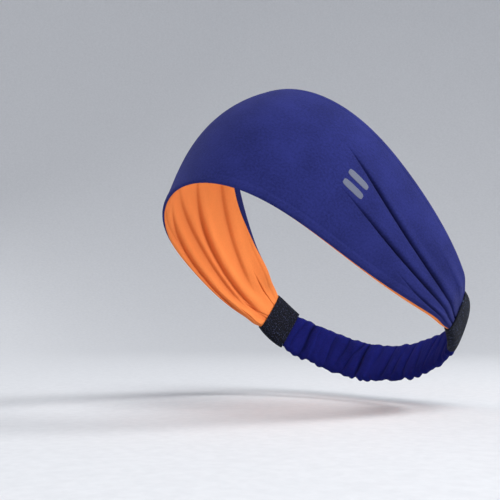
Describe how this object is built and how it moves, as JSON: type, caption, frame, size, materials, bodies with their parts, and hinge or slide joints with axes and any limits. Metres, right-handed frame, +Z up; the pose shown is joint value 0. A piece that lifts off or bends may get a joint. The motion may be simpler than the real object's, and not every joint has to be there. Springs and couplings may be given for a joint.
{
  "type": "sports headband",
  "caption": "Wide two-layer stretch sports headband whose front panel narrows into knit tabs joined behind by a gathered elastic band.",
  "frame": {"origin": "centre of the head opening, in the plane through the middle of both tabs and the loop's own mid line", "axes": "+Z up on an upright head, the wearer faces -Y, +X towards the wearer's left; the loop's plane is tilted 39 degrees about X, forehead high and nape low"},
  "size_m": [0.1508, 0.164, 0.1642],
  "materials": {
    "outer_jersey": "matt brushed stretch jersey, indigo",
    "lining_jersey": "smooth matt stretch jersey, orange",
    "knit_tab": "ribbed charcoal knit",
    "casing_jersey": "gathered matt jersey, dark indigo",
    "elastic_webbing": "woven elastic, off-white",
    "indigo_thread": "spun polyester thread, indigo",
    "charcoal_thread": "spun polyester thread, charcoal",
    "transfer_print": "thin matt grey heat transfer"
  },
  "bodies": {
    "front": {"outer_panel": "outer_jersey", "lining_panel": "lining_jersey", "top_edge_seam": "indigo_thread", "bottom_edge_seam": "indigo_thread", "left_tab": "knit_tab", "right_tab": "knit_tab", "left_tab_seam": "charcoal_thread", "right_tab_seam": "charcoal_thread", "left_gathering_thread": "charcoal_thread", "right_gathering_thread": "charcoal_thread", "left_bartack": "charcoal_thread", "right_bartack": "charcoal_thread", "printed_mark": "transfer_print"},
    "rear_band": {"rear_casing": "casing_jersey", "elastic_core": "elastic_webbing", "casing_seam": "indigo_thread"}
  },
  "joints": [
    {"name": "band_stretch", "type": "slide", "parent": "front", "child": "rear_band", "axis": [0, 0.7771, -0.6293], "range_m": [0, 0.025], "stiffness_N_per_m": 120, "deforming": ["rear_casing", "elastic_core", "casing_seam"]}
  ]
}
